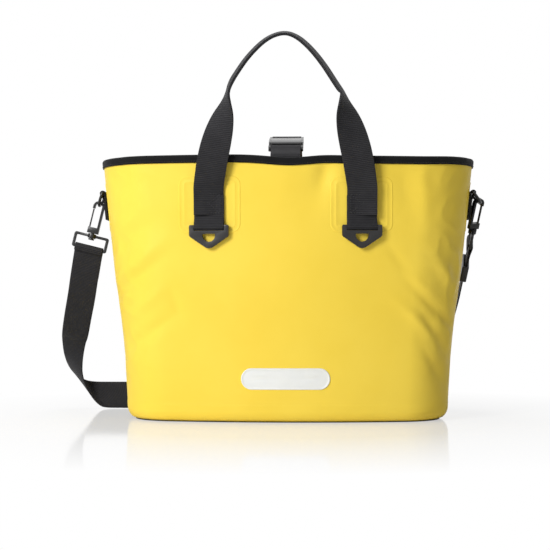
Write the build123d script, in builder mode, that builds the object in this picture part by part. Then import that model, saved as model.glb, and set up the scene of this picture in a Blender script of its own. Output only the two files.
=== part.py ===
"""Dry tail bag: an oval tub of coated fabric with two grab handles, tie-down rings, a closure strap
with a side-release buckle, and a shoulder strap on swivel snap hooks. Millimetres, +Z up, the front
faces -Y, and the origin is the centre of the underside."""

import os
from math import atan2, cos, radians, sin, sqrt

from build123d import *

os.makedirs("parts", exist_ok=True)

# ---- driving dimensions -------------------------------------------------------------------------
# tub: half length and half depth of its oval plan at each height
BASE_THICKNESS = 3.0
TUCK_INSET = 10.5
TUCK_HEIGHT = 13.0
FOOT_HALF_LENGTH = 211.5
FOOT_HALF_DEPTH = 88.0
WAIST_LEVEL = 108.0
WAIST_HALF_LENGTH = 217.0
WAIST_HALF_DEPTH = 90.0
SHOULDER_LEVEL = 200.0
SHOULDER_HALF_LENGTH = 230.0
SHOULDER_HALF_DEPTH = 94.0
RIM_LEVEL = 338.0
RIM_HALF_LENGTH = 244.0
RIM_HALF_DEPTH = 100.0
SIDE_BOW = 14.0
NEAR = 0.5
WALL = 3.0
BOARD_THICKNESS = 3.0
BOARD_GAP = 1.0

# trim on the tub
BINDING_HEIGHT = 9.0
BINDING_THICKNESS = 1.5
BINDING_LIP = 2.0
SEAT = 0.1
PATCH_THICKNESS = 0.8
PATCH_WIDTH = 79.0
PATCH_LOW = 241.0
PATCH_HIGH = 313.0
PATCH_RADIUS = 11.0
END_PATCH_WIDTH = 60.0
END_PATCH_LOW = 246.0
END_PATCH_HIGH = 312.0
LABEL_WIDTH = 113.0
LABEL_HEIGHT = 27.4
LABEL_LEVEL = 56.0
LABEL_THICKNESS = 1.2

# webbing
WEB_WIDTH = 38.0
WEB_THICKNESS = 1.6
LOOP_GAP = 0.3

# tie-down rings and the handle ends that hold them
RING_OFFSET = 96.0
RING_LEVEL = 248.5
RING_CHEEK = 6.25
RING_WIDTH = WEB_WIDTH + 2 * RING_CHEEK
RING_BAR_SHORT = 2.0
RING_SLOT_PLAY = 1.0
RING_DROP = 26.0
RING_BAR_RADIUS = 2.2
RING_SLOT = 2.6
RING_MIDDLE_BAR = 4.2
RING_EYE_WIDTH = 16.0
RING_EYE_HEIGHT = 10.0
RING_SHOULDER = 12.0
RING_TIP_RADIUS = 9.0
RING_SHOULDER_RADIUS = 4.0
RING_EAR_RADIUS = 2.0
ANCHOR_TOP = 290.0

# grab handles
HANDLE_PIVOT_GAP = 1.4
HANDLE_STAND_OFF = 8.0
HANDLE_HANG_OFF = 16.0
HANDLE_NECK = RIM_LEVEL + 76.0
HANDLE_NECK_OFFSET = 73.0
HANDLE_TOP = HANDLE_NECK + 74.0
HANDLE_KINK_OVER_RIM = 16.0
HANDLE_KINK_OVER_RING = 12.0
HANDLE_ARCH_CORNER = 18.0
HANDLE_NARROW = 0.84
HANDLE_FOLD_DEPTH = 18.0
HANDLE_FOLD_WIDTH = 8.0
HANDLE_ROLL_RADIUS = 1.0
HANDLE_BOW_GAP = 2.0

# end tabs, D-rings and snap hooks
TAB_WIDTH = 25.0
TAB_LEVEL = 297.5
TAB_BOTTOM = 262.0
WIRE_RADIUS = 1.9
DRING_HALF_WIDTH = 15.0
DRING_ARM = 1.5
HOOK_THICKNESS = 6.0
HOOK_WIDTH = 15.0
HOOK_EYE_WIDTH = 9.0
HOOK_EYE_DROP = 30.0
HOOK_BOSS_DROP = 38.0
HOOK_WIRE_GAP = 1.0
HOOK_SLIT = 1.0
GATE_TOP = -5.0
GATE_PIVOT_DROP = 31.0
GATE_WIDTH = 1.8
GATE_THICKNESS = 2.6
GATE_PIN_RADIUS = 0.8
GATE_KNUCKLE_RADIUS = 2.0
GATE_PIN_BELOW = 0.6
GATE_HEAD_GAP = 0.4
GATE_POCKET = (5.0, 7.0)
GATE_POCKET_BELOW = 0.5
RUNNING_FIT = 0.05
POST_RADIUS = 2.5
POST_PAST_LOOP = 5.5
POST_HEAD_RADIUS = 3.9
POST_HEAD_HEIGHT = 2.0
POST_HEAD_BELOW = 3.4
LOOP_CHEEK = 4.5
LOOP_WIDTH = WEB_WIDTH + 2 * LOOP_CHEEK
LOOP_CORNER = 3.0
LOOP_WINDOW_CORNER = 1.0
LOOP_BOSS_RADIUS = 5.5
LOOP_BOSS_HEIGHT = 6.0
LOOP_HEIGHT = 20.5
LOOP_BAR = 3.6
LOOP_DROP = 41.7

# closure straps and buckle
BUCKLE_BAR_INSET = 22.0
BUCKLE_BAR_RISE = 10.5
BUCKLE_CHEEK = 3.0
BUCKLE_TILT = 17.0
BUCKLE_WIDTH = WEB_WIDTH + 2 * BUCKLE_CHEEK
BUCKLE_CORNER = 4.0
BUCKLE_THICKNESS = 12.0
BUCKLE_LENGTH = 32.0
BUCKLE_WALL = 2.2
BUCKLE_BAR_RADIUS = 2.0
BUCKLE_REACH = 9.5
MALE_REACH = 20.0
WINDOW_START = 13.0
WINDOW_END = 31.0
EAR_THICKNESS = 2.7
EAR_HEIGHT = 6.0
EAR_LAP = 5.0
EAR_PAST_BAR = 3.0
BORE_SIDE_GAP = 0.4
BORE_END_WALL = 2.5
LEVER_PIVOT_INSET = 6.5
LEVER_PIVOT_REACH = 39.5
LEVER_REACH = 25.0
LEVER_THICKNESS = 4.8
LEVER_KNUCKLE_RADIUS = 1.9
LEVER_PIN_RADIUS = 1.0
LEVER_TIP = 1.0
BARB_INSET = 0.6
BARB_LENGTH = 5.0
CHEEK_THICKNESS = 1.0
CHEEK_GAP = 0.2
CHEEK_HALF_WIDTH = 3.0
CHEEK_BEHIND_PIN = 2.5
PLUG_GAP = 0.5
PLUG_LENGTH = 8.0
PLUG_THICKNESS = 9.0
PLUG_SIDE_INSET = 1.0
TONGUE_WIDTH = 6.0
TONGUE_THICKNESS = 3.0
TONGUE_TIP_GAP = 6.0
CLOSURE_SEAM_DROP = 38.0
BINDING_CLEARANCE = 0.15
LINING_CLEARANCE = 0.2
# turning points of the closure straps: how far inside the rim's front or back and above its level
FRONT_CLOSURE_TURNS = ((16.5, 5.5), (8.5, -1.0))
BACK_CLOSURE_TURNS = ((90.0, 27.5), (55.0, 19.0), (25.0, 8.5), (10.0, 1.0))

# shoulder strap: its doubled sewn ends, its slider, and the points of its centre line with the way
# its width runs there, down on the left to the floor, then behind the bag and up to the right hook
END_DOUBLED = 42.0
RIGHT_STRAIGHT = 85.0
SLIDER_REACH = 38.0
SLIDER_CHEEK = 3.5
SLIDER_LENGTH = 22.0
SLIDER_THICKNESS = 9.0
SLIDER_CORNER = 2.0
SLIDER_SLOT = (WEB_WIDTH + 1.0, 4.6)
LEFT_WAY = (-0.218, 0.42, -0.88)
LEFT_RUN = [
    ((-281.0, 37.0, 161.0), (0.94, 0.18, -0.27)),
    ((-290.5, 62.0, 134.0), (0.92, 0.26, -0.28)),
    ((-299.5, 90.0, 108.0), (0.91, 0.34, -0.22)),
    ((-306.0, 116.0, 83.0), (0.91, 0.39, -0.14)),
    ((-309.0, 136.0, 60.0), (0.94, 0.33, -0.05)),
    ((-309.0, 146.5, 39.5), (0.98, 0.18, 0.0)),
]
FLOOR_RUN = [
    ((-318.0, 146.0, 19.6), (0, 0, 1)),
    ((-284.0, 150.0, 19.6), (0, 0, 1)),
    ((-240.0, 152.0, 19.6), (0, 0, 1)),
    ((-195.0, 154.0, 19.6), (0, 0, 1)),
    ((-150.0, 157.0, 19.2), (0, 0.17, 0.98)),
    ((-110.0, 161.0, 17.8), (0, 0.42, 0.91)),
    ((-70.0, 165.0, 14.5), (0, 0.71, 0.71)),
    ((-30.0, 168.0, 9.5), (0, 0.90, 0.43)),
    ((10.0, 170.0, 4.6), (0, 0.98, 0.17)),
    ((55.0, 171.0, 1.6), (0, 1, 0)),
    ((100.0, 169.5, 1.6), (0.03, 1, 0)),
    ((138.0, 166.0, 2.2), (0.10, 0.99, 0.02)),
    ((168.0, 161.0, 8.0), (0.16, 0.98, 0.10)),
    ((190.0, 152.0, 24.0), (0.26, 0.93, 0.24)),
    ((205.0, 138.0, 48.0), (0.26, 0.87, 0.40)),
    ((215.0, 118.0, 80.0), (0.20, 0.86, 0.46)),
    ((222.5, 94.0, 117.0), (0.14, 0.88, 0.45)),
]


# ---- the oval tub -------------------------------------------------------------------------------
STATIONS = (
    (BASE_THICKNESS, FOOT_HALF_LENGTH - TUCK_INSET, FOOT_HALF_DEPTH - TUCK_INSET),
    (BASE_THICKNESS + TUCK_HEIGHT / 3, FOOT_HALF_LENGTH - TUCK_INSET / 4, FOOT_HALF_DEPTH - TUCK_INSET / 4),
    (BASE_THICKNESS + TUCK_HEIGHT, FOOT_HALF_LENGTH, FOOT_HALF_DEPTH),
    (WAIST_LEVEL, WAIST_HALF_LENGTH, WAIST_HALF_DEPTH),
    (SHOULDER_LEVEL, SHOULDER_HALF_LENGTH, SHOULDER_HALF_DEPTH),
    (RIM_LEVEL, RIM_HALF_LENGTH, RIM_HALF_DEPTH),
)


def half_sizes(level):
    """Half length and half depth of the tub's outside at a height."""
    lower = STATIONS[0]
    for upper in STATIONS[1:]:
        if level <= upper[0]:
            break
        lower = upper
    lower, upper = (STATIONS[-2], STATIONS[-1]) if level > STATIONS[-1][0] else (lower, upper)
    share = (level - lower[0]) / (upper[0] - lower[0])
    return tuple(lower[i] + share * (upper[i] - lower[i]) for i in (1, 2))


def side_radius(length, depth):
    """Radius of the long sides: it meets the round ends, which are SIDE_BOW smaller than the depth."""
    end = depth - SIDE_BOW
    return ((length - end) ** 2 + depth**2 - end**2) / (2 * SIDE_BOW)


def oval(level, grow=0.0, at=None):
    """Four-centre oval of the tub's plan at a height, moved out by grow."""
    length, depth = half_sizes(level)
    end = depth - SIDE_BOW
    side = side_radius(length, depth)
    slope = atan2(length - end, side - depth)
    end_x = length - end + (end + grow) * sin(slope)
    end_y = (end + grow) * cos(slope)
    with BuildSketch(Plane.XY.offset(level if at is None else at)) as face:
        with BuildLine():
            ThreePointArc((-end_x, -end_y), (0, -depth - grow), (end_x, -end_y))
            ThreePointArc((end_x, -end_y), (length + grow, 0), (end_x, end_y))
            ThreePointArc((end_x, end_y), (0, depth + grow), (-end_x, end_y))
            ThreePointArc((-end_x, end_y), (-length - grow, 0), (-end_x, -end_y))
        make_face()
    return face.sketch


def tub(grow, low, high):
    """Solid tub between two heights, moved out by grow from the outside of the wall."""
    levels = [low] + [s[0] for s in STATIONS if low + NEAR < s[0] < high - NEAR] + [high]
    with BuildPart() as solid:
        loft([oval(level, grow) for level in levels], ruled=True)
    return solid.part


def wall_frame(level, x=None, side=-1):
    """Plane on the outside of the wall: x to the right, y up the wall and z straight out of it.
    With x it is on the front (side -1) or back (+1), without it on the left (-1) or right end."""
    step = 20.0
    if x is None:
        here, above = (half_sizes(h)[0] for h in (level, level + step))
        origin = Vector(side * here, 0, level)
        flat = Vector(side, 0, 0)
    else:
        radii = [(side_radius(*half_sizes(h)), half_sizes(h)[1]) for h in (level, level + step)]
        here, above = (sqrt(r**2 - x**2) - r + d for r, d in radii)
        origin = Vector(x, side * here, level)
        flat = Vector(x / radii[0][0], side * sqrt(1 - (x / radii[0][0]) ** 2), 0)
    lean = atan2(above - here, step)
    out = flat * cos(lean) - Vector(0, 0, 1) * sin(lean)
    return Plane(origin, x_dir=Vector(0, 0, 1).cross(flat), z_dir=out)


def side_view(frame):
    """Plane across a wall frame or strap frame: x straight out of it, y up it."""
    return Plane(frame.origin, x_dir=frame.z_dir, z_dir=-frame.x_dir)


RIM_TOP = RIM_LEVEL + BINDING_LIP
outside = tub(0, BASE_THICKNESS, RIM_LEVEL)
inside = tub(-WALL, BASE_THICKNESS, RIM_LEVEL)

for name, keep in (("front_panel", Keep.BOTTOM), ("back_panel", Keep.TOP)):
    with BuildPart() as panel:
        add(outside)
        add(inside, mode=Mode.SUBTRACT)
        split(bisect_by=Plane(origin=(0, 0, 0), x_dir=(1, 0, 0), z_dir=(0, 1, 0)), keep=keep)
    panel.part.label = name
    export_step(panel.part, f"parts/{name}.step")

with BuildPart() as base_panel:
    add(oval(BASE_THICKNESS, at=0))
    extrude(amount=BASE_THICKNESS)
base_panel.part.label = "base_panel"
export_step(base_panel.part, "parts/base_panel.step")

with BuildPart() as base_board:
    add(oval(BASE_THICKNESS, grow=-WALL - BOARD_GAP))
    extrude(amount=BOARD_THICKNESS)
base_board.part.label = "base_board"
export_step(base_board.part, "parts/base_board.step")

with BuildPart() as rim_binding:
    add(tub(SEAT + BINDING_THICKNESS, RIM_TOP - BINDING_HEIGHT, RIM_TOP))
    add(tub(-WALL - SEAT - BINDING_THICKNESS, RIM_TOP - BINDING_HEIGHT, RIM_TOP), mode=Mode.SUBTRACT)
    add(
        tub(SEAT, RIM_TOP - BINDING_HEIGHT, RIM_LEVEL + SEAT)
        - tub(-WALL - SEAT, RIM_TOP - BINDING_HEIGHT, RIM_LEVEL + SEAT),
        mode=Mode.SUBTRACT,
    )
rim_binding.part.label = "rim_binding"
export_step(rim_binding.part, "parts/rim_binding.step")


# ---- welded patches and label -------------------------------------------------------------------
def skin(thickness, low, high):
    """Layer of this thickness lying on the outside of the wall."""
    return tub(thickness, low, high) - tub(0, low, high)


patch_layer = skin(PATCH_THICKNESS, PATCH_LOW - 5, PATCH_HIGH + 5)
PATCH_MIDDLE = (PATCH_LOW + PATCH_HIGH) / 2

for face, side in (("front", -1), ("back", 1)):
    for hand, x in (("left", -RING_OFFSET), ("right", RING_OFFSET)):
        with BuildPart() as patch:
            with BuildSketch(Plane((x, 0, PATCH_MIDDLE), x_dir=(-side, 0, 0), z_dir=(0, side, 0))):
                RectangleRounded(PATCH_WIDTH, PATCH_HIGH - PATCH_LOW, PATCH_RADIUS)
            extrude(amount=2 * RIM_HALF_DEPTH)
            add(patch_layer, mode=Mode.INTERSECT)
        patch.part.label = f"{face}_{hand}_patch"
        export_step(patch.part, f"parts/{face}_{hand}_patch.step")

end_layer = skin(PATCH_THICKNESS, END_PATCH_LOW - 5, END_PATCH_HIGH + 5)
END_PATCH_MIDDLE = (END_PATCH_LOW + END_PATCH_HIGH) / 2

for hand, side in (("left", -1), ("right", 1)):
    with BuildPart() as end_patch:
        with BuildSketch(Plane((0, 0, END_PATCH_MIDDLE), x_dir=(0, side, 0), z_dir=(side, 0, 0))):
            Ellipse(END_PATCH_WIDTH / 2, (END_PATCH_HIGH - END_PATCH_LOW) / 2)
        extrude(amount=2 * RIM_HALF_LENGTH)
        add(end_layer, mode=Mode.INTERSECT)
    end_patch.part.label = f"{hand}_end_patch"
    export_step(end_patch.part, f"parts/{hand}_end_patch.step")

with BuildPart() as label_patch:
    with BuildSketch(Plane((0, 0, LABEL_LEVEL), x_dir=(1, 0, 0), z_dir=(0, -1, 0))):
        SlotOverall(LABEL_WIDTH, LABEL_HEIGHT)
    extrude(amount=2 * RIM_HALF_DEPTH)
    add(skin(LABEL_THICKNESS, LABEL_LEVEL - LABEL_HEIGHT, LABEL_LEVEL + LABEL_HEIGHT), mode=Mode.INTERSECT)
label_patch.part.label = "label_patch"
export_step(label_patch.part, "parts/label_patch.step")


# ---- webbing folded round a bar -----------------------------------------------------------------
def folded_end(frame, bar_out, bar_radius, length, width, seat, drop=0.0):
    """Webbing that comes down a frame, round a bar at its origin and back up, sewn flat above.
    The bar stands bar_out from the frame, and the sewn part reaches length up it."""
    inner = bar_radius + LOOP_GAP
    outer = inner + WEB_THICKNESS
    neck = 2.2 * outer
    with BuildPart() as webbing:
        with BuildSketch(side_view(frame)):
            with Locations((bar_out, 0)):
                Circle(outer)
            Polygon(
                (bar_out - outer * cos(radians(20)), outer * sin(radians(20))),
                (bar_out + outer * cos(radians(20)), outer * sin(radians(20))),
                (seat + 2 * WEB_THICKNESS, neck + 3),
                (seat, neck + 3),
                align=None,
            )
            with Locations((bar_out, 0)):
                Circle(inner, mode=Mode.SUBTRACT)
            with Locations((seat + WEB_THICKNESS, (length + neck) / 2)):
                Rectangle(2 * WEB_THICKNESS, length - neck)
        extrude(amount=width / 2, both=True)
    return webbing.part


ring_out = PATCH_THICKNESS + WEB_THICKNESS + LOOP_GAP + RING_BAR_RADIUS

for face, side in (("front", -1), ("back", 1)):
    for hand, x in (("left", -RING_OFFSET), ("right", RING_OFFSET)):
        frame = wall_frame(RING_LEVEL, x, side)

        with BuildPart() as anchor:
            sewn = ANCHOR_TOP - RING_LEVEL
            add(folded_end(frame, ring_out, RING_BAR_RADIUS, sewn, WEB_WIDTH, PATCH_THICKNESS))
        anchor.part.label = f"{face}_{hand}_anchor"
        export_step(anchor.part, f"parts/{face}_{hand}_anchor.step")

        with BuildPart() as ring:
            with BuildSketch(frame.offset(ring_out - RING_BAR_RADIUS)) as plate:
                with BuildLine():
                    Polyline(
                        (-RING_WIDTH / 2, RING_BAR_RADIUS),
                        (-RING_WIDTH / 2, -RING_SHOULDER),
                        (0, -RING_DROP - RING_TIP_RADIUS / 3),
                        (RING_WIDTH / 2, -RING_SHOULDER),
                        (RING_WIDTH / 2, RING_BAR_RADIUS),
                        close=True,
                    )
                outline = make_face()
                fillet(outline.vertices().sort_by(Axis.Y)[0], RING_TIP_RADIUS)
                fillet(plate.sketch_local.vertices().sort_by(Axis.Y)[-2:], RING_EAR_RADIUS)
                corners = plate.sketch_local.vertices().sort_by(Axis.Y)
                shoulders = [v for v in corners if abs(v.X) > RING_WIDTH / 2 - NEAR][:2]
                fillet(shoulders, RING_SHOULDER_RADIUS)
                slot_top = -RING_BAR_RADIUS
                with Locations((0, (RING_BAR_RADIUS + slot_top - RING_SLOT) / 2)):
                    Rectangle(WEB_WIDTH + RING_SLOT_PLAY, 2 * RING_BAR_RADIUS + RING_SLOT, mode=Mode.SUBTRACT)
                eye_top = slot_top - RING_SLOT - RING_MIDDLE_BAR
                with BuildLine():
                    flat = Line((-RING_EYE_WIDTH / 2, eye_top), (RING_EYE_WIDTH / 2, eye_top))
                    ThreePointArc(flat @ 1, (0, eye_top - RING_EYE_HEIGHT), flat @ 0)
                make_face(mode=Mode.SUBTRACT)
            extrude(amount=2 * RING_BAR_RADIUS)
            with BuildSketch(side_view(frame)):
                with Locations((ring_out, 0)):
                    Circle(RING_BAR_RADIUS)
            extrude(amount=RING_WIDTH / 2 - RING_BAR_SHORT, both=True)
        ring.part.label = f"{face}_{hand}_ring"
        export_step(ring.part, f"parts/{face}_{hand}_ring.step")


# ---- grab handles -------------------------------------------------------------------------------
def bands(sections):
    """Ruled solid through rectangles: each is a plane, a width and a thickness."""
    faces = []
    for plane, width, thickness in sections:
        with BuildSketch(plane) as face:
            Rectangle(width, thickness)
        faces.append(face.sketch)
    with BuildPart() as solid:
        loft(faces, ruled=True)
    return solid.part


def handle_frame(side, level, out):
    """Plane of a handle's pivot line: x to the right, y up and z out of the wall."""
    wall = wall_frame(level, RING_OFFSET, side)
    pivot = wall.origin + wall.z_dir * out
    return Plane((0, pivot.Y, pivot.Z), x_dir=(-side, 0, 0), z_dir=(0, side, 0))


def grab_handle(frame, turn, stand, kink, length):
    """Two webbing legs that narrow to a folded grip. turn is 1 standing up and -1 hanging down;
    stand is how far the grip is out, kink where the legs reach it, length where the grip starts."""
    legs = []
    across = frame.x_dir
    up = frame.y_dir * turn
    for hand in (-1, 1):
        sections = []
        for reach, out, offset, width, depth in (
            (0, 0, RING_OFFSET, WEB_WIDTH, WEB_THICKNESS),
            (kink, stand, RING_OFFSET - 6, WEB_WIDTH, WEB_THICKNESS),
            (0.7 * length, stand, RING_OFFSET - 12, HANDLE_NARROW * WEB_WIDTH, 2 * WEB_THICKNESS),
            (length, stand, HANDLE_NECK_OFFSET, HANDLE_FOLD_WIDTH, HANDLE_FOLD_DEPTH),
        ):
            place = frame.origin + across * hand * offset + up * reach + frame.z_dir * out
            sections.append((Plane(place, x_dir=across, z_dir=up), width, depth))
        legs.append(bands(sections))
    rise = HANDLE_TOP - HANDLE_NECK
    neck = HANDLE_NECK_OFFSET
    arch = [(-neck, -4), (-0.8 * neck, 0.38 * rise), (-0.42 * neck, 0.84 * rise), (0, 1.04 * rise)]
    arch += [(-x, y) for x, y in reversed(arch[:-1])]
    grip = Plane(frame.origin + up * length + frame.z_dir * stand, x_dir=across, z_dir=frame.z_dir)
    with BuildPart() as handle:
        add(legs)
        for hand in (-1, 1):
            with BuildSketch(Plane(frame.origin + across * hand * RING_OFFSET, z_dir=across)):
                Circle(HANDLE_ROLL_RADIUS)
            extrude(amount=WEB_WIDTH / 2, both=True)
        with BuildSketch(grip):
            with BuildLine():
                FilletPolyline([(x, turn * y) for x, y in arch], radius=HANDLE_ARCH_CORNER)
            trace(line_width=HANDLE_FOLD_WIDTH)
        extrude(amount=HANDLE_FOLD_DEPTH / 2, both=True)
    return handle.part


pivot_level = ANCHOR_TOP + HANDLE_PIVOT_GAP
pivot_out = PATCH_THICKNESS + 2 * WEB_THICKNESS + HANDLE_ROLL_RADIUS + LOOP_GAP + HANDLE_BOW_GAP
grip_start = HANDLE_NECK - pivot_level
for face, side, turn, stand, kink in (
    ("front", -1, 1, HANDLE_STAND_OFF, RIM_LEVEL - pivot_level + HANDLE_KINK_OVER_RIM),
    ("back", 1, -1, HANDLE_HANG_OFF, pivot_level - RING_LEVEL - HANDLE_KINK_OVER_RING),
):
    with BuildPart() as handle:
        add(grab_handle(handle_frame(side, pivot_level, pivot_out), turn, stand, kink, grip_start))
    handle.part.label = f"{face}_handle"
    export_step(handle.part, f"parts/{face}_handle.step")


# ---- end tabs, D-rings, snap hooks and strap loops ----------------------------------------------
tab_out = PATCH_THICKNESS + WEB_THICKNESS + LOOP_GAP + WIRE_RADIUS
dring_drop = DRING_ARM + DRING_HALF_WIDTH
bight_radius = HOOK_EYE_WIDTH / 2
bight_middle = -(bight_radius - WIRE_RADIUS - HOOK_WIRE_GAP)
gate_offset = -(HOOK_WIDTH + HOOK_EYE_WIDTH) / 4

# where each snap hook hangs: how far the D-ring stands out, the angle round its bow, the way the
# hook points down, the way its eye faces, and the way the strap's width runs
HANG = {
    "left": (22.0, 0.0, Vector(-0.24, 0, -0.971), Vector(0, -1, 0), Vector(0.971, 0, -0.24)),
    "right": (38.0, 30.0, Vector(-0.15, 0.43, -0.89), Vector(-0.46, 0.77, 0.44), Vector(0.1, 0.89, 0.42)),
}
loop_bar = {}

for hand, side in (("left", -1), ("right", 1)):
    frame = wall_frame(TAB_LEVEL, side=side)
    with BuildPart() as tab:
        add(folded_end(Plane(frame.origin, x_dir=-frame.x_dir, z_dir=frame.z_dir), tab_out, WIRE_RADIUS,
                       TAB_LEVEL - TAB_BOTTOM, TAB_WIDTH, PATCH_THICKNESS))
    tab.part.label = f"{hand}_tab"
    export_step(tab.part, f"parts/{hand}_tab.step")

    bar = frame.origin + frame.z_dir * tab_out
    stand_out, round_bow, down, facing, width_way = HANG[hand]
    depth_way = Vector(side * sin(radians(stand_out)), 0, -cos(radians(stand_out)))
    flat = Plane(bar, x_dir=(0, 1, 0), z_dir=Vector(0, 1, 0).cross(-depth_way))
    with BuildPart() as dring:
        with BuildLine(flat):
            arm = Line((-DRING_HALF_WIDTH, 0), (-DRING_HALF_WIDTH, -DRING_ARM))
            ThreePointArc(arm @ 1, (0, -dring_drop), (DRING_HALF_WIDTH, -DRING_ARM))
            Line((DRING_HALF_WIDTH, -DRING_ARM), (DRING_HALF_WIDTH, 0))
        with BuildSketch(Plane(arm @ 0, z_dir=depth_way)):
            Circle(WIRE_RADIUS)
        sweep()
        with BuildSketch(Plane(bar, z_dir=(0, 1, 0))):
            Circle(WIRE_RADIUS)
        extrude(amount=DRING_HALF_WIDTH, both=True)
        with Locations(flat):
            with Locations((-DRING_HALF_WIDTH, 0), (DRING_HALF_WIDTH, 0)):
                Sphere(WIRE_RADIUS)
    dring.part.label = f"{hand}_dring"
    export_step(dring.part, f"parts/{hand}_dring.step")

    along = Vector(0, 1, 0) * DRING_HALF_WIDTH * sin(radians(round_bow))
    wire = bar + along + depth_way * (DRING_ARM + DRING_HALF_WIDTH * cos(radians(round_bow)))
    down = down.normalized()
    facing = (facing - down * facing.dot(down)).normalized()
    width_way = (width_way - down * width_way.dot(down)).normalized()
    hang = Plane(wire, x_dir=(-down).cross(facing), z_dir=facing)

    with BuildPart() as hook:
        with BuildSketch(hang):
            with Locations((0, bight_middle)):
                Circle(HOOK_WIDTH / 2)
            with Locations((0, (bight_middle - HOOK_BOSS_DROP) / 2)):
                Rectangle(HOOK_WIDTH, HOOK_BOSS_DROP + bight_middle)
            with Locations((0, bight_middle)):
                Circle(bight_radius, mode=Mode.SUBTRACT)
            with Locations((0, (bight_middle - HOOK_EYE_DROP) / 2)):
                Rectangle(HOOK_EYE_WIDTH, HOOK_EYE_DROP + bight_middle, mode=Mode.SUBTRACT)
            with Locations((-HOOK_WIDTH / 2, (GATE_TOP - HOOK_EYE_DROP) / 2)):
                slit = HOOK_WIDTH - HOOK_EYE_WIDTH + HOOK_SLIT
                Rectangle(slit, HOOK_EYE_DROP + GATE_TOP, mode=Mode.SUBTRACT)
        extrude(amount=HOOK_THICKNESS / 2, both=True)
        with BuildSketch(hang):
            with Locations((gate_offset, -GATE_PIVOT_DROP - GATE_POCKET_BELOW)):
                Rectangle(*GATE_POCKET)
        extrude(amount=GATE_THICKNESS / 2 + LOOP_GAP, both=True, mode=Mode.SUBTRACT)
        with BuildSketch(hang):
            with Locations((gate_offset, -GATE_PIVOT_DROP - GATE_PIN_BELOW)):
                Circle(GATE_PIN_RADIUS)
        extrude(amount=HOOK_THICKNESS / 2, both=True)
        with BuildSketch(Plane(wire + down * HOOK_BOSS_DROP, z_dir=down)):
            Circle(POST_RADIUS)
        extrude(amount=LOOP_DROP - HOOK_BOSS_DROP + POST_PAST_LOOP)
        with BuildSketch(Plane(wire + down * (LOOP_DROP + POST_HEAD_BELOW), z_dir=down)):
            Circle(POST_HEAD_RADIUS)
        extrude(amount=POST_HEAD_HEIGHT)
    hook.part.label = f"{hand}_snap_hook"
    export_step(hook.part, f"parts/{hand}_snap_hook.step")

    with BuildPart() as gate:
        with BuildSketch(hang):
            gate_head = GATE_TOP - GATE_HEAD_GAP
            with Locations((gate_offset, (gate_head - GATE_PIVOT_DROP) / 2)):
                Rectangle(GATE_WIDTH, GATE_PIVOT_DROP + gate_head)
            with Locations((gate_offset, -GATE_PIVOT_DROP - GATE_PIN_BELOW)):
                Circle(GATE_KNUCKLE_RADIUS)
                Circle(GATE_PIN_RADIUS + RUNNING_FIT, mode=Mode.SUBTRACT)
        extrude(amount=GATE_THICKNESS / 2, both=True)
    gate.part.label = f"{hand}_gate"
    export_step(gate.part, f"parts/{hand}_gate.step")

    cross = Plane(wire, x_dir=width_way, z_dir=width_way.cross(-down))
    with BuildPart() as loop:
        with BuildSketch(cross):
            with Locations((0, -LOOP_DROP - (LOOP_HEIGHT - LOOP_BAR) / 2)):
                RectangleRounded(LOOP_WIDTH, LOOP_HEIGHT, LOOP_CORNER)
                window = LOOP_WIDTH - 2 * LOOP_BAR, LOOP_HEIGHT - 2 * LOOP_BAR
                RectangleRounded(*window, LOOP_WINDOW_CORNER, mode=Mode.SUBTRACT)
        extrude(amount=LOOP_BAR / 2, both=True)
        boss_middle = wire + down * LOOP_DROP
        with BuildSketch(Plane(boss_middle, z_dir=down)):
            Circle(LOOP_BOSS_RADIUS)
        extrude(amount=LOOP_BOSS_HEIGHT / 2, both=True)
        with BuildSketch(Plane(boss_middle, z_dir=down)):
            Circle(POST_RADIUS + RUNNING_FIT)
        extrude(amount=LOOP_BOSS_HEIGHT / 2 + 1, both=True, mode=Mode.SUBTRACT)
    loop.part.label = f"{hand}_strap_loop"
    export_step(loop.part, f"parts/{hand}_strap_loop.step")
    loop_bar[hand] = wire + down * (LOOP_DROP + LOOP_HEIGHT - LOOP_BAR)

# ---- shoulder strap -----------------------------------------------------------------------------
strap_bar_radius = LOOP_BAR / sqrt(2)


def strap_planes(route, ends):
    """A plane across the strap at each point of the route, between its two end directions."""
    points = [Vector(*place) for place, _ in route]
    planes = []
    for i, (_, width_way) in enumerate(route):
        before = ends[0] if i == 0 else (points[i] - points[i - 1]).normalized()
        after = ends[1] if i == len(route) - 1 else (points[i + 1] - points[i]).normalized()
        ahead = (before + after).normalized()
        width_way = Vector(*width_way)
        width_way = (width_way - ahead * width_way.dot(ahead)).normalized()
        planes.append(Plane(points[i], x_dir=width_way, z_dir=ahead))
    return planes


left_bar = loop_bar["left"]
left_width = HANG["left"][-1].normalized()
left_way = Vector(*LEFT_WAY)
left_way = (left_way - left_width * left_way.dot(left_width)).normalized()
left_end = Plane(left_bar, x_dir=left_width, z_dir=left_width.cross(left_way))
sewn_end = left_bar + left_way * END_DOUBLED
with BuildPart() as shoulder_strap_left:
    add(folded_end(left_end, 0, strap_bar_radius, END_DOUBLED, WEB_WIDTH, -WEB_THICKNESS))
    across = strap_planes([(sewn_end, left_width)] + LEFT_RUN, (left_way, Vector(0, 0.1, -1)))
    add(bands([(plane, WEB_WIDTH, WEB_THICKNESS) for plane in across]))
shoulder_strap_left.part.label = "shoulder_strap_left"
export_step(shoulder_strap_left.part, "parts/shoulder_strap_left.step")

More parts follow.
